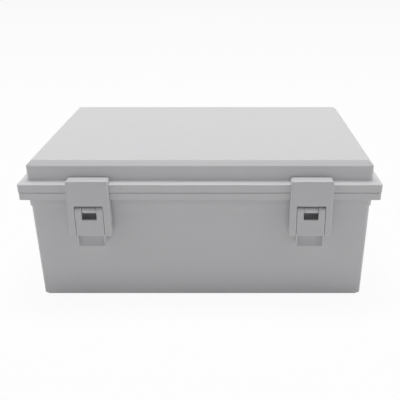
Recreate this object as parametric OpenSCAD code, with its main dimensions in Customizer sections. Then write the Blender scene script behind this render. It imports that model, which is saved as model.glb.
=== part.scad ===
// Hinged plastic enclosure: base, gasketed lid on two pinned hinges, two over-centre draw latches,
// and a steel mounting plate inside. Millimetres. The origin is the centre of the flat wall face of the
// base, +Z points out of the wall, the latches are on -Y and the hinges on +Y.

/* [Enclosure] */
// Length over the lid rim, along X
rim_l = 300; // [240:1:400]
// Width over the lid rim, along Y
rim_w = 200; // [170:1:300]
// Height of the base, from the wall face to its rim
base_h = 100; // [90:1:160]
// Thickness of the base and lid walls
wall = 3; // [2.4:0.1:3.6]
// Thickness of the base floor
floor_t = 3; // [2:0.1:4]
// How far the base walls lean in from the collar down to the wall face
lean = 1.7; // [0.5:0.1:2.5]
// Corner radius of the base walls under the collar
body_r = 3.5; // [3.5:0.5:8]
// Width of the bevel round the wall face
foot_bevel = 0.8; // [0.4:0.1:1]

/* [Base rim] */
// Height of the base rim
base_rim_h = 6.1; // [5:0.1:9]
// How far the base rim stands back from the lid rim
base_rim_inset = 0.3; // [0.2:0.1:1]
// Thickness of the flange of the base rim
base_flange_t = 3; // [2:0.1:4]
// Thickness of the skirt round either rim
skirt_t = 2.5; // [2:0.1:3]
// Corner radius of both rims
rim_r = 2.2; // [1:0.1:4]
// Height of the collar under the base rim
collar_h = 7.8; // [5:0.1:9]
// How far the collar stands back from the lid rim
collar_inset = 6.3; // [6:0.1:7.4]
// How far the base wall stands back from the collar at its top
collar_step = 0.9; // [0.5:0.1:1.5]

/* [Wall panels] */
// Width of the set-back corner columns
column_w = 9; // [8:0.5:20]
// How far a panel stands proud of the columns
panel_step = 0.6; // [0.4:0.1:2]
// Depth under the collar at which a panel starts to stand proud
panel_start = 5; // [0:0.5:20]
// Height over which a panel rises to its full step
panel_ramp = 9; // [4:0.5:20]

/* [Lid] */
// Height of the lid rim
lid_rim_h = 7.1; // [6.5:0.1:10]
// How far the lid wall stands back from the lid rim
lid_inset = 7; // [7:0.1:8]
// How much the top of the lid rim rises towards the lid wall
rim_rise = 1.4; // [0.4:0.1:2]
// Height of the bevel's foot above the edge of the lid rim
lid_wall_h = 13.8; // [8:0.1:40]
// Height of the bevel round the lid top
bevel_h = 4.2; // [2:0.1:6]
// Width of the bevel round the lid top
bevel_w = 4.1; // [2:0.1:6]
// Thickness of the lid top
lid_top_t = 3; // [2:0.1:4]
// Radius of the lid's vertical corners
lid_r = 2.5; // [2.5:0.1:6]

/* [Seal] */
// Height of the gasket in its channel
gasket_h = 2.4; // [1.6:0.1:3]
// Thickness of the lid above the gasket channel
channel_roof_t = 2.6; // [2:0.1:3]
// Thickness of the tongue on the base that presses the gasket
tongue_t = 2; // [1.2:0.1:2.6]

/* [Hinges] */
// Distance of each hinge's middle from the end of the lid rim
hinge_end = 58.5; // [40:0.5:80]
// Distance of the hinge axis behind the lid rim
hinge_back = 5; // [4.6:0.1:8]
// Outer radius of the hinge knuckles
knuckle_r = 4.6; // [4:0.1:6]
// Length of each outer knuckle, on the base
outer_knuckle_l = 9; // [6:0.5:14]
// Length of the middle knuckle, on the lid
middle_knuckle_l = 18; // [12:0.5:30]
// Radius of the hinge pins
hinge_pin_r = 2; // [1.5:0.1:2.4]

/* [Latch claws] */
// Distance of each latch's middle from the end of the lid rim
latch_end = 58; // [40:0.5:80]
// Width of a claw
claw_w = 35; // [31:0.5:44]
// How far the front of a claw stands out from the lid rim
claw_out = 4; // [3.6:0.1:5]
// Length of a claw below the top of the lid rim
claw_drop = 44.7; // [42:0.1:50]
// Thickness of the hook above the lid rim
hook_t = 4; // [3:0.1:6]
// Gap between the hook and the lid rim
hook_gap = 0.5; // [0.4:0.05:0.8]
// Depth of the window below the top of the lid rim
window_drop = 17.6; // [17.4:0.1:18.5]
// Thickness of each leg beside the window
leg_t = 5.5; // [3.5:0.1:6]
// How far a leg reaches back under the rim
leg_back = 5; // [4.5:0.1:6]
// Radius of the hook's upper corners, seen from the front
hook_corner_r = 2.5; // [1:0.1:4]
// Radius of the hook's front edge
hook_edge_r = 1.2; // [0.5:0.1:3]
// Radius of the outer corners at a claw's foot
foot_corner_r = 1.5; // [0.5:0.1:3]
// Radius of the long front edges of a claw
claw_edge_r = 1.5; // [0.5:0.1:1.8]
// Width of the notch between the lever ears
notch_w = 12.5; // [9:0.5:14]

/* [Latch levers] */
// Height of the lever axis below the top of the lid rim
lever_axis_drop = 22.3; // [22:0.1:22.6]
// Distance of the lever axis in front of the lid rim
lever_axis_out = 0.4; // [0.2:0.1:0.6]
// Radius of the lever's ears
ear_r = 3.3; // [3.2:0.1:3.6]
// Distance from the lever axis down to the claw axis
arm_drop = 13; // [12:0.1:15]
// Distance of the claw axis behind the lever axis
arm_back = 2.4; // [1.5:0.1:2.8]
// Depth of the notch below the lever axis
notch_drop = 7.8; // [6.5:0.1:8]
// Length of the lever's face below the lever axis
face_drop = 21.9; // [19:0.1:24]
// Thickness of the lever's face
face_t = 2.2; // [1.6:0.1:2.6]
// Thickness of the lever's side cheeks
cheek_t = 2.6; // [2:0.1:3.4]
// Length of the finger tab below the face
tab_l = 12.1; // [9:0.1:16]
// How far the lip of the tab stands out from the lid rim
tab_out = 3; // [2:0.1:3.4]
// Thickness of the tab behind its scoop
tab_t = 2; // [1.4:0.1:2.6]
// Radius of the finger scoop
scoop_r = 14; // [9:0.5:20]
// Depth of the finger scoop
scoop_depth = 3.5; // [2:0.1:3.5]
// Height of the lip under the finger scoop
lip_h = 2; // [1:0.1:3]
// Width of the wall round the scoop
scoop_wall = 0.8; // [0.8:0.1:2]
// Radius of the tab's lower corners
tab_corner_r = 4.5; // [2:0.1:5]
// Radius of the latch pins
latch_pin_r = 1.5; // [1.2:0.1:1.6]

/* [Wall fixing] */
// Distance of the wall screws from the inner faces of the base walls, at the floor
fix_from_wall = 8.1; // [7:0.1:10]
// Radius of the wall screw holes
fix_hole_r = 2.75; // [2:0.05:3.2]
// Radius of the counterbores for the screw heads
fix_bore_r = 5.5; // [4.8:0.1:6]
// Height of the wall screw bosses above the wall face
fix_boss_h = 12; // [9:0.5:14]
// Thickness of plastic under each counterbore
fix_seat_t = 5; // [4:0.5:6]
// Wall thickness of the wall screw bosses
fix_boss_wall = 2.5; // [1.5:0.1:3]
// Thickness of the rubber washers in the counterbores
seal_washer_t = 1.5; // [1:0.1:3]

/* [Mounting plate] */
// Gap between the mounting plate and the base walls, at the floor
plate_gap = 7.1; // [4:0.1:10]
// Thickness of the mounting plate
plate_t = 1.5; // [1:0.1:3]
// Width cut off each corner of the mounting plate
plate_clip = 22; // [20:1:26]
// Distance of the plate screws from the edges of the plate
plate_screw_edge = 16; // [14:0.5:20]
// Height of the plate above the wall face
plate_z = 16; // [15:0.5:30]
// Outer radius of the plate bosses
plate_boss_r = 5.5; // [4.5:0.1:8]
// Outer radius of the brass inserts
insert_r = 2.8; // [2.6:0.1:3.2]
// Length of the brass inserts
insert_l = 8; // [5:0.5:10]
// Radius of the plate screws
plate_screw_r = 2; // [1.5:0.1:2.2]
// Length of the plate screws under the head
plate_screw_l = 10; // [8:0.5:11]
// Radius of the plate washers
washer_r = 4.5; // [4.2:0.1:6]
// Thickness of the plate washers
washer_t = 0.8; // [0.5:0.1:1.2]
// Distance of the earth stud from the end of the plate
earth_edge = 31; // [15:1:60]
// Radius of the earth stud
earth_r = 2.5; // [2:0.1:3]
// Length of the earth stud
earth_l = 11; // [10:0.5:16]
// Width across the flats of the earth nut
earth_nut_w = 8; // [7:0.1:10]
// Thickness of the earth nut
earth_nut_t = 4; // [3:0.1:5]

/* [Fits] */
// Gap between the two rims when the lid is shut
parting_gap = 0.4; // [0.3:0.05:0.6]
// Gap between other pieces that move past each other
gap = 0.4; // [0.3:0.05:0.5]
// Radial clearance of a pin in the hole that it turns in
running_fit = 0.05; // [0.02:0.01:0.1]
// Radial clearance of a screw in a plain hole
screw_clearance = 0.3; // [0.1:0.05:0.6]

/* [Hidden] */
$fn = 64;
eps = 0.01;

shell_grey = [0.78, 0.78, 0.78];
latch_grey = [0.72, 0.72, 0.73];
steel = [0.70, 0.71, 0.72];
brass_yellow = [0.80, 0.65, 0.30];
rubber_black = [0.12, 0.12, 0.12];
zinc = [0.62, 0.64, 0.66];

// heights
lid_z = base_h + parting_gap;
rim_top = lid_z + lid_rim_h;
bevel_z = rim_top + lid_wall_h;
lid_top = bevel_z + bevel_h;
base_rim_z = base_h - base_rim_h;
collar_z = base_rim_z - collar_h;

// insets from the lid rim
body_inset = collar_inset + collar_step;
foot_inset = body_inset + lean;
inner_inset = body_inset + wall;
channel_out = skirt_t;
channel_in = lid_inset;
tongue_mid = (channel_out + channel_in) / 2;
gasket_z = rim_top - channel_roof_t - gasket_h;

// latch axes, as [distance in front of the lid rim, height]
lever_axis = [lever_axis_out, rim_top - lever_axis_drop];
claw_axis = [lever_axis_out - arm_back, rim_top - lever_axis_drop - arm_drop];
claw_in = gap;
claw_foot = rim_top - claw_drop;
window_top = rim_top - window_drop;
hook_z = rim_top + hook_gap;
window_w = claw_w - 2 * leg_t;
lever_w = window_w - 2 * gap;
lug_w = notch_w - 2 * gap;
lug_r = ear_r - 2 * gap;
lever_face = lever_axis_out + ear_r;
face_foot = lever_axis[1] - face_drop;
tab_foot = face_foot - tab_l;
latch_x = rim_l / 2 - latch_end;

// hinges
hinge_x = rim_l / 2 - hinge_end;
hinge_z = base_h + parting_gap / 2;
hinge_l = middle_knuckle_l + 2 * outer_knuckle_l + 2 * gap;

// fixings and mounting plate
floor_inset = inner_inset + lean;
fix_pitch_x = rim_l - 2 * (floor_inset + fix_from_wall);
fix_pitch_y = rim_w - 2 * (floor_inset + fix_from_wall);
plate_l = rim_l - 2 * (floor_inset + plate_gap);
plate_w = rim_w - 2 * (floor_inset + plate_gap);
plate_pitch_x = plate_l - 2 * plate_screw_edge;
plate_pitch_y = plate_w - 2 * plate_screw_edge;
earth_x = plate_l / 2 - earth_edge;
plate_top = plate_z + plate_t;
head_z = plate_top + washer_t;

// ---------- shared outlines ----------

// rectangle with round corners, its sides `inset` inside the lid rim
module rim_outline(inset, r) {
    l = rim_l - 2 * inset;
    w = rim_w - 2 * inset;
    square([l - 2 * r, w], center = true);
    square([l, w - 2 * r], center = true);
    for (sx = [-1, 1], sy = [-1, 1])
        translate([sx * (l / 2 - r), sy * (w / 2 - r)]) circle(r);
}

// what rounding takes off a corner that points along +X and +Y, drawn from the centre of the round
module corner_cut(r) {
    difference() {
        square(2 * r);
        circle(r);
    }
}

// rectangle between two points, its corners rounded by [lower left, lower right, upper right, upper left]
module rounded_box(low, high, radii) {
    difference() {
        translate(low) square(high - low);
        if (radii[0] > 0) translate(low + [1, 1] * radii[0]) rotate(180) corner_cut(radii[0]);
        if (radii[1] > 0) translate([high[0] - radii[1], low[1] + radii[1]]) rotate(-90) corner_cut(radii[1]);
        if (radii[2] > 0) translate(high - [1, 1] * radii[2]) corner_cut(radii[2]);
        if (radii[3] > 0) translate([low[0] + radii[3], high[1] - radii[3]]) rotate(90) corner_cut(radii[3]);
    }
}

// slab with that outline between two heights
module slab(inset, r, z0, z1) {
    translate([0, 0, z0]) linear_extrude(z1 - z0) rim_outline(inset, r);
}

// solid whose walls slope out from inset0 at z0 to inset1 at z1, with a cone in each corner
module drafted_form(inset0, z0, inset1, z1, r1) {
    half_l = rim_l / 2;
    half_w = rim_w / 2;
    core = inset1 + r1;
    translate([core - half_l, 0, 0]) rotate([90, 0, 90]) linear_extrude(2 * (half_l - core))
        taper(half_w - inset0, z0, half_w - inset1, z1);
    translate([0, half_w - core, 0]) rotate([90, 0, 0]) linear_extrude(2 * (half_w - core))
        taper(half_l - inset0, z0, half_l - inset1, z1);
    for (sx = [-1, 1], sy = [-1, 1])
        translate([sx * (half_l - core), sy * (half_w - core), z0])
            cylinder(r1 = r1 - inset0 + inset1, r2 = r1, h = z1 - z0);
}

module taper(half0, z0, half1, z1) {
    polygon([[-half0, z0], [half0, z0], [half1, z1], [-half1, z1]]);
}

// side outline drawn as [distance in front of the lid rim, height], `w` wide along X
module at_front(x, w) {
    mirror([0, 1, 0]) translate([x - w / 2, rim_w / 2, 0]) rotate([90, 0, 90]) linear_extrude(w) children();
}

// side outline drawn as [distance behind the lid rim, height], `w` wide along X
module at_back(x, w) {
    translate([x - w / 2, rim_w / 2, 0]) rotate([90, 0, 90]) linear_extrude(w) children();
}

module at_corners(px, py) {
    for (sx = [-1, 1], sy = [-1, 1]) translate([sx * px / 2, sy * py / 2, 0]) children();
}

// ---------- base ----------

module base_body() {
    drafted_form(foot_inset + foot_bevel, 0, foot_inset, foot_bevel, body_r - lean);
    drafted_form(foot_inset, foot_bevel, body_inset, collar_z, body_r);
}

module base_cavity() {
    drafted_form(floor_inset, floor_t, inner_inset, base_h + eps, body_r);
}

// inset of the outside of the base wall at one height
function wall_inset(z) = foot_inset - lean * (z - foot_bevel) / (collar_z - foot_bevel);

// raised middle of a pair of walls, seen from the side: full step at the foot, faded out under the collar
module panel_side(half) {
    top_z = collar_z - panel_start;
    ramp_z = top_z - panel_ramp;
    foot = half - foot_inset + panel_step;
    shoulder = half - wall_inset(ramp_z) + panel_step;
    end = half - wall_inset(top_z) - panel_step / 2; // just inside the wall
    polygon([[-foot, 0], [foot, 0], [shoulder, ramp_z], [end, top_z], [-end, top_z], [-shoulder, ramp_z]]);
}

// panels on all four walls, ending in a slope of 45 degrees that follows the corner
module wall_panels() {
    long = rim_l - 2 * (foot_inset + wall);
    short = rim_w - 2 * (foot_inset + wall);
    span = rim_l / 2 + rim_w / 2 - column_w;
    intersection() {
        union() {
            translate([-long / 2, 0, 0]) rotate([90, 0, 90]) linear_extrude(long) panel_side(rim_w / 2);
            translate([0, short / 2, 0]) rotate([90, 0, 0]) linear_extrude(short) panel_side(rim_l / 2);
        }
        for (turn = [45, 135]) {
            rotate(turn) translate([-span, 0, 0]) rotate([90, 0, 90]) linear_extrude(2 * span)
                taper((span - 2 * foot_inset) / sqrt(2), 0, (span - 2 * body_inset) / sqrt(2), collar_z);
        }
    }
}

// flange with a skirt, open underneath, and the tongue that presses the gasket
module base_rim() {
    difference() {
        slab(base_rim_inset, rim_r, base_rim_z, base_h);
        slab(base_rim_inset + skirt_t, rim_r, base_rim_z - eps, base_h - base_flange_t);
    }
    slab(collar_inset, body_r, collar_z, base_h);
    difference() {
        slab(tongue_mid - tongue_t / 2, rim_r, base_h - eps, gasket_z - gap);
        slab(tongue_mid + tongue_t / 2, rim_r, base_h - 2 * eps, gasket_z);
    }
}

// ear of one latch, hanging from the rim and tied back to the wall
module latch_lug(x) {
    root = -body_inset - wall / 2;
    difference() {
        at_front(x, lug_w) {
            translate(lever_axis) circle(lug_r);
            polygon([
                [root, base_h - base_flange_t], [-base_rim_inset - gap, base_h - base_flange_t],
                [-base_rim_inset - gap, lever_axis[1] + lug_r + gap],
                [lever_axis[0], lever_axis[1] + lug_r], [lever_axis[0], lever_axis[1] - lug_r],
                [root, lever_axis[1] - 2 * lug_r],
            ]);
        }
        at_front(x, lug_w + 2) translate(lever_axis) circle(latch_pin_r);
    }
}

// two outer knuckles of one hinge
module base_knuckles(x) {
    for (side = [-1, 1])
        at_back(x + side * (middle_knuckle_l + outer_knuckle_l + 2 * gap) / 2, outer_knuckle_l) {
            difference() {
                union() {
                    translate([hinge_back, hinge_z]) circle(knuckle_r);
                    polygon([
                        [-base_rim_inset - skirt_t, base_h], [hinge_back, base_h],
                        [hinge_back, hinge_z - knuckle_r], [-base_rim_inset, base_rim_z],
                        [-base_rim_inset - skirt_t, base_rim_z],
                    ]);
                }
                translate([hinge_back, hinge_z]) circle(hinge_pin_r);
            }
        }
}

module base() {
    color(shell_grey) difference() {
        union() {
            difference() {
                union() {
                    base_body();
                    wall_panels();
                    base_rim();
                }
                base_cavity();
            }
            for (side = [-1, 1]) {
                latch_lug(side * latch_x);
                base_knuckles(side * hinge_x);
            }
            at_corners(fix_pitch_x, fix_pitch_y) cylinder(r = fix_bore_r + fix_boss_wall, h = fix_boss_h);
            at_corners(plate_pitch_x, plate_pitch_y) cylinder(r = plate_boss_r, h = plate_z);
        }
        at_corners(fix_pitch_x, fix_pitch_y) {
            translate([0, 0, -eps]) cylinder(r = fix_hole_r, h = fix_boss_h);
            translate([0, 0, fix_seat_t]) cylinder(r = fix_bore_r, h = fix_boss_h);
        }
        at_corners(plate_pitch_x, plate_pitch_y)
            translate([0, 0, plate_z - plate_screw_l]) cylinder(r = insert_r, h = plate_screw_l + eps);
    }
}

// ---------- lid ----------

// closed form whose top slopes in over a width `slope_w`: `inset` inside the lid rim, from z0 up to `top`
module lid_form(inset, r, z0, slope_z, top, slope_w) {
    half_l = rim_l / 2 - inset;
    half_w = rim_w / 2 - inset;
    intersection() {
        slab(inset, r, z0, top);
        translate([-half_l, 0, 0]) rotate([90, 0, 90]) linear_extrude(2 * half_l)
            sloped(half_w, z0, slope_z, top, slope_w);
        translate([0, half_w, 0]) rotate([90, 0, 0]) linear_extrude(2 * half_w)
            sloped(half_l, z0, slope_z, top, slope_w);
    }
}

module sloped(half, z0, slope_z, top, slope_w) {
    polygon([
        [-half, z0], [half, z0], [half, slope_z], [half - slope_w, top],
        [slope_w - half, top], [-half, slope_z],
    ]);
}

// middle knuckle of one hinge
module lid_knuckle(x) {
    at_back(x, middle_knuckle_l) difference() {
        union() {
            translate([hinge_back, hinge_z]) circle(knuckle_r);
            polygon([
                [-skirt_t, lid_z], [hinge_back, lid_z], [hinge_back, hinge_z + knuckle_r],
                [0, rim_top - rim_r / 2], [-skirt_t, rim_top - rim_r / 2],
            ]);
        }
        translate([hinge_back, hinge_z]) circle(hinge_pin_r + running_fit);
    }
}

module lid() {
    color(shell_grey) {
        difference() {
            union() {
                lid_form(0, rim_r, lid_z, rim_top, rim_top + rim_rise, lid_inset);
                lid_form(lid_inset, lid_r, lid_z + wall, bevel_z, lid_top, bevel_w);
            }
            lid_form(lid_inset + wall, lid_r / 2, lid_z - eps, bevel_z - wall / 2, lid_top - lid_top_t, bevel_w);
            difference() {
                slab(channel_out, rim_r, lid_z - eps, rim_top - channel_roof_t);
                slab(channel_in, lid_r, lid_z - 2 * eps, rim_top);
            }
        }
        for (side = [-1, 1]) lid_knuckle(side * hinge_x);
    }
}

module lid_gasket() {
    color(rubber_black) difference() {
        slab(channel_out, rim_r, gasket_z, gasket_z + gasket_h);
        slab(channel_in, lid_r, gasket_z - eps, gasket_z + gasket_h + eps);
    }
}

// ---------- latches ----------

// side view of a claw: hook over the rim, front plate, and legs that reach back under the rim
module claw_side() {
    top = hook_z + hook_t;
    under_rim = base_rim_z - 2 * gap;
    difference() {
        rounded_box([-lid_inset, claw_foot], [claw_out, top], [0, 0, hook_edge_r, 0]);
        polygon([
            [-2 * lid_inset, under_rim], [claw_in, under_rim], [claw_in, hook_z], [0, hook_z],
            [-2 * lid_inset, hook_z + 2 * rim_rise],
        ]);
        translate([-2 * lid_inset, hook_z - 1]) square([lid_inset + gap, 2 * hook_t]);
        polygon([
            [-leg_back, under_rim + 1], [-2 * lid_inset, under_rim + 1], [-2 * lid_inset, claw_foot - 1],
            [claw_axis[0], claw_foot - 1], [claw_axis[0], claw_foot], [-leg_back, claw_foot + leg_back / 2],
        ]);
    }
}

// front view of a claw
module claw_front() {
    half = claw_w / 2;
    rounded_box([-half, claw_foot], [half, hook_z + hook_t],
        [foot_corner_r, foot_corner_r, hook_corner_r, hook_corner_r]);
}

// plan view of a claw
module claw_plan() {
    half = claw_w / 2;
    rounded_box([-half, -lid_inset], [half, claw_out], [0, 0, claw_edge_r, claw_edge_r]);
}

module claw(x) {
    color(latch_grey) difference() {
        intersection() {
            at_front(x, claw_w) claw_side();
            translate([x, 0, 0]) rotate([90, 0, 0]) linear_extrude(rim_w) claw_front();
            translate([x, -rim_w / 2, 0]) mirror([0, 1, 0]) linear_extrude(lid_top) claw_plan();
        }
        // window for the lever, and room for the lever's ears behind the front plate
        at_front(x, window_w) translate([-2 * leg_back, claw_foot - 1])
            square([2 * leg_back + 2 * claw_out, window_top - claw_foot + 1]);
        at_front(x, window_w) translate([-2 * leg_back, claw_foot])
            square([2 * leg_back + lever_axis_out + 2 * gap, base_rim_z - claw_foot]);
        at_front(x, claw_w + 2) translate(claw_axis) circle(latch_pin_r);
    }
}

// side view of the lever's cheeks, from the ears round the claw axis to the tab
module cheek_side() {
    translate(lever_axis) circle(ear_r);
    translate(claw_axis) circle(ear_r);
    polygon([
        [lever_face, lever_axis[1]], [lever_face, face_foot], [tab_out - scoop_depth - tab_t, face_foot],
        [claw_axis[0] - ear_r, claw_axis[1]], [lever_axis[0] - ear_r, lever_axis[1]],
    ]);
}

module lever_tab(x) {
    back = tab_out - scoop_depth - tab_t;
    // height of the scoop's middle above its lower edge, which stands lip_h above the foot
    rise = sqrt(pow(scoop_r, 2) - pow(scoop_r - scoop_depth, 2));
    difference() {
        intersection() {
            at_front(x, lever_w) translate([back, tab_foot]) square([tab_out - back, tab_l + face_t]);
            translate([x, 0, 0]) rotate([90, 0, 0]) linear_extrude(rim_w)
                rounded_box([-lever_w / 2, tab_foot], [lever_w / 2, lever_axis[1]], [1, 1, 0, 0] * tab_corner_r);
        }
        intersection() {
            at_front(x, lever_w - 2 * scoop_wall)
                translate([tab_out - scoop_depth + scoop_r, tab_foot + lip_h + rise]) circle(scoop_r);
            at_front(x, lever_w) translate([back, tab_foot]) square([scoop_r + claw_out, tab_l]);
        }
    }
}

module lever(x) {
    color(latch_grey) difference() {
        union() {
            difference() {
                at_front(x, lever_w) cheek_side();
                // hollow back between the cheeks
                at_front(x, lever_w - 2 * cheek_t) translate([-4 * ear_r, face_foot - tab_l])
                    square([4 * ear_r + lever_face - face_t, face_drop + tab_l - ear_r]);
            }
            lever_tab(x);
        }
        // notch for the lug on the base
        at_front(x, notch_w) translate([-4 * ear_r, lever_axis[1] - notch_drop])
            square([4 * ear_r + 2 * claw_out, notch_drop + 2 * ear_r]);
        at_front(x, lever_w + 2) {
            translate(lever_axis) circle(latch_pin_r + running_fit);
            translate(claw_axis) circle(latch_pin_r + running_fit);
        }
    }
}

module lever_pin(x) {
    color(steel) at_front(x, lever_w) translate(lever_axis) circle(latch_pin_r);
}

module claw_pin(x) {
    color(steel) at_front(x, claw_w) translate(claw_axis) circle(latch_pin_r);
}

module hinge_pin(x) {
    color(steel) at_back(x, hinge_l) translate([hinge_back, hinge_z]) circle(hinge_pin_r);
}

// ---------- inside ----------

module mounting_plate() {
    half_l = plate_l / 2;
    half_w = plate_w / 2;
    color(zinc) translate([0, 0, plate_z]) linear_extrude(plate_t) difference() {
        polygon([
            [plate_clip - half_l, -half_w], [half_l - plate_clip, -half_w], [half_l, plate_clip - half_w],
            [half_l, half_w - plate_clip], [half_l - plate_clip, half_w], [plate_clip - half_l, half_w],
            [-half_l, half_w - plate_clip], [-half_l, plate_clip - half_w],
        ]);
        at_corners(plate_pitch_x, plate_pitch_y) circle(plate_screw_r + screw_clearance);
    }
}

module plate_screws() {
    head_h = 1.2 * plate_screw_r;
    color(steel) at_corners(plate_pitch_x, plate_pitch_y) {
        translate([0, 0, head_z - plate_screw_l]) cylinder(r = plate_screw_r, h = plate_screw_l);
        translate([0, 0, head_z]) difference() {
            cylinder(r = 1.9 * plate_screw_r, h = head_h);
            for (turn = [0, 90]) rotate(turn) translate([-1.2 * plate_screw_r, -0.2 * plate_screw_r, head_h / 2])
                cube([2.4 * plate_screw_r, 0.4 * plate_screw_r, head_h]);
        }
    }
}

module plate_washers() {
    color(steel) at_corners(plate_pitch_x, plate_pitch_y) translate([0, 0, plate_top]) difference() {
        cylinder(r = washer_r, h = washer_t);
        translate([0, 0, -eps]) cylinder(r = plate_screw_r + screw_clearance / 2, h = washer_t + 2 * eps);
    }
}

module plate_inserts() {
    groove = 0.4;
    color(brass_yellow) at_corners(plate_pitch_x, plate_pitch_y) translate([0, 0, plate_z - insert_l])
        rotate_extrude() polygon([
            [plate_screw_r + running_fit, 0], [insert_r, 0], [insert_r, insert_l * 0.4],
            [insert_r - groove, insert_l * 0.45], [insert_r - groove, insert_l * 0.55],
            [insert_r, insert_l * 0.6], [insert_r, insert_l], [plate_screw_r + running_fit, insert_l],
        ]);
}

module wall_seal_washers() {
    color(rubber_black) at_corners(fix_pitch_x, fix_pitch_y) translate([0, 0, fix_seat_t]) difference() {
        cylinder(r = fix_bore_r - screw_clearance, h = seal_washer_t);
        translate([0, 0, -eps]) cylinder(r = fix_hole_r, h = seal_washer_t + 2 * eps);
    }
}

module earth_stud() {
    color(steel) translate([-earth_x, 0, plate_top]) {
        cylinder(r = earth_r + 1, h = 1);
        cylinder(r = earth_r, h = earth_l);
    }
}

module earth_nut() {
    color(brass_yellow) translate([-earth_x, 0, plate_top + 1 + earth_nut_t / 2]) difference() {
        cylinder(r = earth_nut_w / sqrt(3), h = earth_nut_t, $fn = 6);
        translate([0, 0, -eps]) cylinder(r = earth_r + running_fit, h = earth_nut_t + 2 * eps);
    }
}

base();
lid();
lid_gasket();
hinge_pin(-hinge_x);  // hinge_pin_left
hinge_pin(hinge_x);  // hinge_pin_right
claw(-latch_x);  // latch_claw_left
claw(latch_x);  // latch_claw_right
lever(-latch_x);  // latch_lever_left
lever(latch_x);  // latch_lever_right
lever_pin(-latch_x);  // lever_pin_left
lever_pin(latch_x);  // lever_pin_right
claw_pin(-latch_x);  // claw_pin_left
claw_pin(latch_x);  // claw_pin_right
mounting_plate();
plate_screws();
plate_washers();
plate_inserts();
wall_seal_washers();
earth_stud();
earth_nut();
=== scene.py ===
import math

import bpy
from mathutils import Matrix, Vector

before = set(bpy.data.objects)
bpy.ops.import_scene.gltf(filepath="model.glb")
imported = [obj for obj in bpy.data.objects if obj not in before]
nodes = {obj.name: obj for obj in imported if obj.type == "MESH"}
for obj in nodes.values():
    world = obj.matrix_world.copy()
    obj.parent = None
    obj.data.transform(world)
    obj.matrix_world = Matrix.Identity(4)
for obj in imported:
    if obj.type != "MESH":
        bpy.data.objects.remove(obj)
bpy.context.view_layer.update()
scene = bpy.context.scene
print("frame loaded:", len(nodes), "nodes")


cameraSettings = {"place": (0.0231, -0.5566, 0.2854), "tiltDown": 22.72, "lens": 54.0,
                  "sensorWidth": 36.0, "shiftX": -0.070, "clip": (0.01, 50.0)}


def makeCamera(settings):
    data = bpy.data.cameras.new("enclosureCamera")
    data.lens = settings["lens"]
    data.sensor_width = settings["sensorWidth"]
    data.shift_x = settings["shiftX"]
    data.clip_start, data.clip_end = settings["clip"]
    camera = bpy.data.objects.new("enclosureCamera", data)
    camera.location = settings["place"]
    camera.rotation_euler = (math.radians(90.0 - settings["tiltDown"]), 0.0, 0.0)
    scene.collection.objects.link(camera)
    scene.camera = camera


makeCamera(cameraSettings)
scene.view_settings.view_transform = "Standard"
print("camera made")


def newGroup(name, inputs, outputs):
    tree = bpy.data.node_groups.new(name, "ShaderNodeTree")
    for label, kind, value in inputs:
        tree.interface.new_socket(name=label, in_out="INPUT", socket_type=kind).default_value = value
    for label, kind in outputs:
        tree.interface.new_socket(name=label, in_out="OUTPUT", socket_type=kind)
    return tree, tree.nodes.new("NodeGroupInput"), tree.nodes.new("NodeGroupOutput")


def addNode(tree, kind, links=(), **values):
    node = tree.nodes.new(kind)
    for key, value in values.items():
        if key in node.bl_rna.properties and key not in node.inputs:
            setattr(node, key, value)
        else:
            node.inputs[key].default_value = value
    for target, source in links:
        tree.links.new(source, node.inputs[target])
    return node


def doMath(tree, operation, first, second=0.0, clamp=False):
    node = tree.nodes.new("ShaderNodeMath")
    node.operation = operation
    node.use_clamp = clamp
    for slot, value in enumerate((first, second)):
        if isinstance(value, (int, float)):
            node.inputs[slot].default_value = value
        else:
            tree.links.new(value, node.inputs[slot])
    return node.outputs[0]


def blendColours(tree, factor, first, second):
    node = tree.nodes.new("ShaderNodeMix")
    node.data_type = "RGBA"
    for slot, value in ((0, factor), (6, first), (7, second)):
        if isinstance(value, (int, float)):
            node.inputs[slot].default_value = value
        elif isinstance(value, tuple):
            node.inputs[slot].default_value = (*value, 1.0)
        else:
            tree.links.new(value, node.inputs[slot])
    return node.outputs[2]


def remap(tree, source, low, high, newLow=0.0, newHigh=1.0):
    node = tree.nodes.new("ShaderNodeMapRange")
    tree.links.new(source, node.inputs[0])
    for slot, value in enumerate((low, high, newLow, newHigh), start=1):
        node.inputs[slot].default_value = value
    return node.outputs[0]


def objectPlace(tree):
    return tree.nodes.new("ShaderNodeTexCoord").outputs["Object"]


# 1 where the camera or a mirrored or bent ray looks, 0 for the soft light that falls on the enclosure
def seenDirectly(tree):
    path = tree.nodes.new("ShaderNodeLightPath")
    bounced = doMath(tree, "MAXIMUM", path.outputs["Is Glossy Ray"], path.outputs["Is Transmission Ray"])
    return doMath(tree, "MAXIMUM", path.outputs["Is Camera Ray"], bounced)


# fine grain and pits for the bump, and slow flow marks for colour and gloss
def mouldedGroup():
    tree, source, sink = newGroup(
        "mouldedSurface",
        [("Grain Scale", "NodeSocketFloat", 1500.0), ("Flow Scale", "NodeSocketFloat", 14.0)],
        [("Height", "NodeSocketFloat"), ("Variation", "NodeSocketFloat")],
    )
    place = objectPlace(tree)
    grain = addNode(tree, "ShaderNodeTexNoise", [("Vector", place), ("Scale", source.outputs[0])],
                    Detail=3.0, Roughness=0.6)
    pits = addNode(tree, "ShaderNodeTexVoronoi", [("Vector", place), ("Scale", source.outputs[0])],
                   feature="SMOOTH_F1")
    flow = addNode(tree, "ShaderNodeTexNoise", [("Vector", place), ("Scale", source.outputs[1])],
                   Detail=4.0, Roughness=0.55, Distortion=0.6)
    halfPits = doMath(tree, "MULTIPLY", pits.outputs["Distance"], 0.5)
    tree.links.new(doMath(tree, "ADD", grain.outputs["Fac"], halfPits), sink.inputs["Height"])
    tree.links.new(flow.outputs["Fac"], sink.inputs["Variation"])
    return tree


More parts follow.
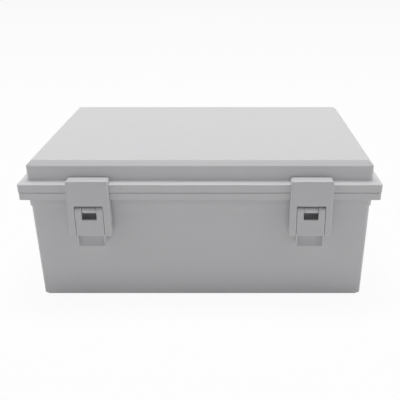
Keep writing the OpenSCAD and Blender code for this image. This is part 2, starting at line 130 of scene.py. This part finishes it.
# 1 on the edges, with patches where it is less; on the plastics this mask paints a highlight on the
# edges, on the metals it marks wear
def edgeGroup():
    tree, source, sink = newGroup(
        "edgeHighlightAndWear",
        [("Radius", "NodeSocketFloat", 0.0006), ("Patchiness", "NodeSocketFloat", 0.35)],
        [("Mask", "NodeSocketFloat")],
    )
    rounded = addNode(tree, "ShaderNodeBevel", [("Radius", source.outputs[0])], samples=4)
    surface = tree.nodes.new("ShaderNodeNewGeometry")
    dot = addNode(tree, "ShaderNodeVectorMath", operation="DOT_PRODUCT")
    tree.links.new(rounded.outputs[0], dot.inputs[0])
    tree.links.new(surface.outputs["True Normal"], dot.inputs[1])
    edge = remap(tree, dot.outputs["Value"], 0.995, 0.82)  # from nearly flat to well turned
    place = objectPlace(tree)
    patches = addNode(tree, "ShaderNodeTexNoise", [("Vector", place)], Scale=160.0, Detail=4.0)
    missing = remap(tree, patches.outputs["Fac"], 0.35, 0.65, 1.0, 0.0)
    softened = doMath(tree, "SUBTRACT", 1.0, doMath(tree, "MULTIPLY", source.outputs[1], missing))
    tree.links.new(doMath(tree, "MULTIPLY", edge, softened, clamp=True), sink.inputs["Mask"])
    return tree


# specks of dust on what faces up
def dustGroup():
    tree, source, sink = newGroup(
        "settledDust", [("Amount", "NodeSocketFloat", 0.2)], [("Mask", "NodeSocketFloat")])
    surface = tree.nodes.new("ShaderNodeNewGeometry")
    apart = addNode(tree, "ShaderNodeSeparateXYZ", [("Vector", surface.outputs["Normal"])])
    facing = remap(tree, apart.outputs["Z"], 0.5, 1.0)
    place = objectPlace(tree)
    specks = addNode(tree, "ShaderNodeTexNoise", [("Vector", place)],
                     Scale=55.0, Detail=8.0, Roughness=0.7)
    spread = remap(tree, specks.outputs["Fac"], 0.45, 0.75)
    settled = doMath(tree, "MULTIPLY", facing, spread)
    tree.links.new(doMath(tree, "MULTIPLY", settled, source.outputs[0], clamp=True), sink.inputs["Mask"])
    return tree


# noise drawn out along the piece by the stretch
def brushedGroup():
    tree, source, sink = newGroup(
        "drawnMetal",
        [("Stretch", "NodeSocketVector", (30.0, 1500.0, 1500.0))],
        [("Height", "NodeSocketFloat"), ("Variation", "NodeSocketFloat")],
    )
    place = objectPlace(tree)
    stretched = addNode(tree, "ShaderNodeVectorMath", operation="MULTIPLY")
    tree.links.new(place, stretched.inputs[0])
    tree.links.new(source.outputs[0], stretched.inputs[1])
    lines = addNode(tree, "ShaderNodeTexNoise", [("Vector", stretched.outputs[0])], Scale=1.0, Detail=3.0)
    clouds = addNode(tree, "ShaderNodeTexNoise", [("Vector", place)], Scale=60.0, Detail=4.0)
    tree.links.new(lines.outputs["Fac"], sink.inputs["Height"])
    mixed = doMath(tree, "ADD", doMath(tree, "MULTIPLY", lines.outputs["Fac"], 0.5),
                   doMath(tree, "MULTIPLY", clouds.outputs["Fac"], 0.5))
    tree.links.new(mixed, sink.inputs["Variation"])
    return tree


# cells with bent borders, each of its own shade
def spangleGroup():
    tree, source, sink = newGroup(
        "zincSpangle", [("Scale", "NodeSocketFloat", 110.0)], [("Shade", "NodeSocketFloat")])
    place = objectPlace(tree)
    bend = addNode(tree, "ShaderNodeTexNoise", [("Vector", place)], Scale=70.0, Detail=2.0)
    moved = addNode(tree, "ShaderNodeVectorMath", operation="MULTIPLY_ADD")
    tree.links.new(bend.outputs["Color"], moved.inputs[0])
    moved.inputs[1].default_value = (0.006, 0.006, 0.006)  # how far the borders bend, in metres
    tree.links.new(place, moved.inputs[2])
    cells = addNode(tree, "ShaderNodeTexVoronoi",
                    [("Vector", moved.outputs[0]), ("Scale", source.outputs[0])])
    shade = addNode(tree, "ShaderNodeSeparateColor", [("Color", cells.outputs["Color"])])
    tree.links.new(shade.outputs["Red"], sink.inputs["Shade"])
    return tree


groups = {"moulded": mouldedGroup(), "edge": edgeGroup(), "dust": dustGroup(), "brushed": brushedGroup(),
          "spangle": spangleGroup()}
print("surface effects made:", len(groups))


def placeGroup(tree, name, **values):
    node = tree.nodes.new("ShaderNodeGroup")
    node.node_tree = groups[name]
    for key, value in values.items():
        node.inputs[key].default_value = value
    return node


def newMaterial(name):
    material = bpy.data.materials.new(name)
    material.use_nodes = True
    tree = material.node_tree
    return material, tree, tree.nodes["Principled BSDF"]


def bumpInto(tree, shader, height, finish):
    bump = addNode(tree, "ShaderNodeBump", [("Height", height)], Strength=finish["bump"],
                   Distance=finish["bumpDepth"])
    tree.links.new(bump.outputs["Normal"], shader.inputs["Normal"])


def varyRoughness(tree, variation, finish):
    low, high = finish["roughness"] - finish["spread"], finish["roughness"] + finish["spread"]
    return remap(tree, variation, 0.3, 0.7, low, high)


# the pale edge colour in these two finishes, with its radius and amount, is a painted highlight on the
# rounded edges, standing in for the light they catch
shellFinish = {"colour": (0.640, 0.638, 0.645), "highlightedColour": (0.82, 0.82, 0.825), "dust": (0.60, 0.59, 0.57),
               "dulling": 0.965, "roughness": 0.42, "spread": 0.06, "dustRoughness": 0.3, "ior": 1.50,
               "grainScale": 1500.0, "flowScale": 14.0, "bump": 0.10, "bumpDepth": 0.00008,
               "highlightRadius": 0.0008, "highlightAmount": 0.7, "dustAmount": 0.10}
latchFinish = {"colour": (0.610, 0.610, 0.618), "highlightedColour": (0.82, 0.82, 0.83), "dust": (0.58, 0.57, 0.55),
               "dulling": 0.965, "roughness": 0.36, "spread": 0.06, "dustRoughness": 0.3, "ior": 1.50,
               "grainScale": 2100.0, "flowScale": 40.0, "bump": 0.08, "bumpDepth": 0.00006,
               "highlightRadius": 0.0009, "highlightAmount": 0.9, "dustAmount": 0.05}


def plasticMaterial(name, finish):
    material, tree, shader = newMaterial(name)
    moulded = placeGroup(tree, "moulded", **{"Grain Scale": finish["grainScale"],
                                             "Flow Scale": finish["flowScale"]})
    # painted highlight: this edge mask lightens the rounded edges as if they caught the light
    highlightAndWear = placeGroup(tree, "edge", Radius=finish["highlightRadius"])
    dust = placeGroup(tree, "dust", Amount=finish["dustAmount"])
    dull = tuple(channel * finish["dulling"] for channel in finish["colour"])
    clean = blendColours(tree, moulded.outputs["Variation"], dull, finish["colour"])
    # lays the pale painted highlight colour onto the edges
    paintedHighlightPart = doMath(tree, "MULTIPLY", highlightAndWear.outputs["Mask"], finish["highlightAmount"])
    highlightedColour = blendColours(tree, paintedHighlightPart, clean, finish["highlightedColour"])
    dusty = blendColours(tree, dust.outputs["Mask"], highlightedColour, finish["dust"])
    tree.links.new(dusty, shader.inputs["Base Color"])
    gloss = varyRoughness(tree, moulded.outputs["Variation"], finish)
    duller = doMath(tree, "MULTIPLY", dust.outputs["Mask"], finish["dustRoughness"])
    rough = doMath(tree, "ADD", gloss, duller, clamp=True)
    tree.links.new(rough, shader.inputs["Roughness"])
    shader.inputs["IOR"].default_value = finish["ior"]
    bumpInto(tree, shader, moulded.outputs["Height"], finish)
    return material


rubberFinish = {"colour": (0.030, 0.030, 0.031), "bloom": (0.075, 0.075, 0.078),
                "dust": (0.16, 0.155, 0.15), "dustAmount": 0.5, "roughness": 0.73, "spread": 0.09,
                "grainScale": 1200.0, "flowScale": 30.0, "bump": 0.35, "bumpDepth": 0.00012}


def rubberMaterial(name, finish):
    material, tree, shader = newMaterial(name)
    moulded = placeGroup(tree, "moulded", **{"Grain Scale": finish["grainScale"],
                                             "Flow Scale": finish["flowScale"]})
    dust = placeGroup(tree, "dust", Amount=finish["dustAmount"])
    colour = blendColours(tree, moulded.outputs["Variation"], finish["colour"], finish["bloom"])
    dusty = blendColours(tree, dust.outputs["Mask"], colour, finish["dust"])
    tree.links.new(dusty, shader.inputs["Base Color"])
    tree.links.new(varyRoughness(tree, moulded.outputs["Variation"], finish), shader.inputs["Roughness"])
    bumpInto(tree, shader, moulded.outputs["Height"], finish)
    return material


pinFinish = {"colour": (0.58, 0.58, 0.59), "dark": (0.42, 0.42, 0.43), "roughness": 0.29,
             "spread": 0.09, "stretch": (30.0, 1800.0, 1800.0), "bump": 0.12, "bumpDepth": 0.00005}
screwFinish = {"colour": (0.62, 0.63, 0.64), "dark": (0.45, 0.46, 0.48), "roughness": 0.33,
               "spread": 0.09, "stretch": (900.0, 900.0, 900.0), "bump": 0.10, "bumpDepth": 0.00005}
brassFinish = {"colour": (0.80, 0.60, 0.26), "dark": (0.55, 0.38, 0.15), "roughness": 0.27,
               "spread": 0.09, "stretch": (900.0, 900.0, 2500.0), "bump": 0.12, "bumpDepth": 0.00005}
metalWear = {"radius": 0.0003, "patchiness": 0.3, "brightening": 1.2}


def metalMaterial(name, finish):
    material, tree, shader = newMaterial(name)
    drawn = placeGroup(tree, "brushed", Stretch=finish["stretch"])
    highlightAndWear = placeGroup(tree, "edge", Radius=metalWear["radius"], Patchiness=metalWear["patchiness"])
    colour = blendColours(tree, drawn.outputs["Variation"], finish["dark"], finish["colour"])
    bright = tuple(channel * metalWear["brightening"] for channel in finish["colour"])
    tree.links.new(blendColours(tree, highlightAndWear.outputs["Mask"], colour, bright), shader.inputs["Base Color"])
    tree.links.new(varyRoughness(tree, drawn.outputs["Variation"], finish), shader.inputs["Roughness"])
    shader.inputs["Metallic"].default_value = 1.0
    bumpInto(tree, shader, drawn.outputs["Height"], finish)
    return material


sheetFinish = {"bright": (0.35, 0.36, 0.37), "dark": (0.28, 0.29, 0.30), "roughness": 0.58,
               "spread": 0.07, "rolledRoughness": 0.08, "cellScale": 130.0,
               "stretch": (12.0, 700.0, 700.0), "bump": 0.06, "bumpDepth": 0.00004}


def sheetMaterial(name, finish):
    material, tree, shader = newMaterial(name)
    spangle = placeGroup(tree, "spangle", Scale=finish["cellScale"])
    rolled = placeGroup(tree, "brushed", Stretch=finish["stretch"])
    colour = blendColours(tree, spangle.outputs["Shade"], finish["dark"], finish["bright"])
    tree.links.new(colour, shader.inputs["Base Color"])
    low, high = finish["roughness"] - finish["spread"], finish["roughness"] + finish["spread"]
    cellRough = remap(tree, spangle.outputs["Shade"], 0.0, 1.0, low, high)
    rolledRough = doMath(tree, "MULTIPLY", rolled.outputs["Variation"], finish["rolledRoughness"])
    tree.links.new(doMath(tree, "ADD", cellRough, rolledRough), shader.inputs["Roughness"])
    shader.inputs["Metallic"].default_value = 1.0
    bumpInto(tree, shader, rolled.outputs["Height"], finish)
    return material


shellPlastic = plasticMaterial("shellPlastic", shellFinish)
latchPlastic = plasticMaterial("latchPlastic", latchFinish)
sealRubber = rubberMaterial("sealRubber", rubberFinish)
pinSteel = metalMaterial("pinSteel", pinFinish)
screwSteel = metalMaterial("screwSteel", screwFinish)
turnedBrass = metalMaterial("turnedBrass", brassFinish)
zincSheet = sheetMaterial("zincSheet", sheetFinish)

# how the names of the nodes start, and what they are made of
finishes = {"base": shellPlastic, "lid": shellPlastic,
            "latch_claw": latchPlastic, "latch_lever": latchPlastic,
            "lid_gasket": sealRubber, "wall_seal": sealRubber,
            "hinge_pin": pinSteel, "lever_pin": pinSteel, "claw_pin": pinSteel,
            "plate_screws": screwSteel, "plate_washers": screwSteel, "earth_stud": screwSteel,
            "plate_inserts": turnedBrass, "earth_nut": turnedBrass,
            "mounting_plate": zincSheet}
for name, piece in nodes.items():
    key = max((start for start in finishes if name.startswith(start)), key=len)
    piece.data.materials.clear()
    piece.data.materials.append(finishes[key])
print("materials placed")


# widths in metres; the levers keep their crisp edges, because the walls round their scoops are too thin
edgeSettings = {"base": {"width": 0.00025, "segments": 3}, "lid": {"width": 0.0005, "segments": 4},
                "latch_claw_left": {"width": 0.0004, "segments": 3},
                "latch_claw_right": {"width": 0.0004, "segments": 3}}
seamDistance = 0.000001
sharpestKept = 32.0  # edges that turn by fewer degrees than this belong to curves and stay


def softenEdges(piece, settings):
    weld = piece.modifiers.new("joinSeams", "WELD")
    weld.merge_threshold = seamDistance
    bevel = piece.modifiers.new("roundEdges", "BEVEL")
    bevel.limit_method = "ANGLE"
    bevel.angle_limit = math.radians(sharpestKept)
    bevel.width = settings["width"]
    bevel.segments = settings["segments"]
    bevel.use_clamp_overlap = False
    bevel.loop_slide = False  # even widths, also where flat faces are cut into triangles
    bevel.face_strength_mode = "FSTR_ALL"
    normals = piece.modifiers.new("evenShading", "WEIGHTED_NORMAL")
    normals.keep_sharp = False
    normals.use_face_influence = True


for name, settings in edgeSettings.items():
    softenEdges(nodes[name], settings)
print("edges softened")


floorSettings = {"size": 14.0, "drop": 0.0002, "colour": (0.90, 0.90, 0.90), "roughness": 0.9,
                 "glow": 0.92}
lightSettings = [
    {"name": "overheadLight", "place": (0.0, 0.32, 2.55), "aim": (0.0, 0.0, 0.0),
     "size": (1.7, 0.9), "power": 43.0},
    {"name": "leftLight", "place": (-1.4, -0.3, 0.6), "aim": (0.0, 0.0, 0.05),
     "size": (1.2, 1.0), "power": 5.0},
    {"name": "rightLight", "place": (1.4, -0.3, 0.6), "aim": (0.0, 0.0, 0.05),
     "size": (1.2, 1.0), "power": 5.0},
]
worldSettings = {"strength": 0.19, "colour": (1.0, 0.955, 1.0)}


def makeFloor(settings):
    half = settings["size"] / 2
    mesh = bpy.data.meshes.new("studioFloor")
    corners = [(-half, -half, 0), (half, -half, 0), (half, half, 0), (-half, half, 0)]
    mesh.from_pydata(corners, [], [(0, 1, 2, 3)])
    floor = bpy.data.objects.new("studioFloor", mesh)
    floor.location.z = -settings["drop"]
    scene.collection.objects.link(floor)
    material, tree, shader = newMaterial("floorPaper")
    shader.inputs["Base Color"].default_value = (*settings["colour"], 1.0)
    shader.inputs["Roughness"].default_value = settings["roughness"]
    glow = addNode(tree, "ShaderNodeEmission", Strength=1.0)
    mix = tree.nodes.new("ShaderNodeMixShader")
    tree.links.new(doMath(tree, "MULTIPLY", seenDirectly(tree), settings["glow"]), mix.inputs[0])
    tree.links.new(shader.outputs[0], mix.inputs[1])
    tree.links.new(glow.outputs[0], mix.inputs[2])
    tree.links.new(mix.outputs[0], tree.nodes["Material Output"].inputs["Surface"])
    mesh.materials.append(material)


def makeLights(settings):
    for one in settings:
        data = bpy.data.lights.new(one["name"], "AREA")
        data.shape = "RECTANGLE"
        data.size, data.size_y = one["size"]
        data.energy = one["power"]
        lamp = bpy.data.objects.new(one["name"], data)
        lamp.location = one["place"]
        aim = [a - b for a, b in zip(one["aim"], one["place"])]
        lamp.rotation_euler = Vector(aim).to_track_quat("-Z", "Y").to_euler()
        scene.collection.objects.link(lamp)


def makeWorld(settings):
    world = bpy.data.worlds.new("studioWorld")
    scene.world = world
    world.use_nodes = True
    tree = world.node_tree
    background = tree.nodes["Background"]
    seen = seenDirectly(tree)
    colour = blendColours(tree, seen, settings["colour"], (1.0, 1.0, 1.0))
    strength = remap(tree, seen, 0.0, 1.0, settings["strength"], 1.0)
    tree.links.new(colour, background.inputs["Color"])
    tree.links.new(strength, background.inputs["Strength"])


makeFloor(floorSettings)
makeLights(lightSettings)
makeWorld(worldSettings)
print("floor and lights made")
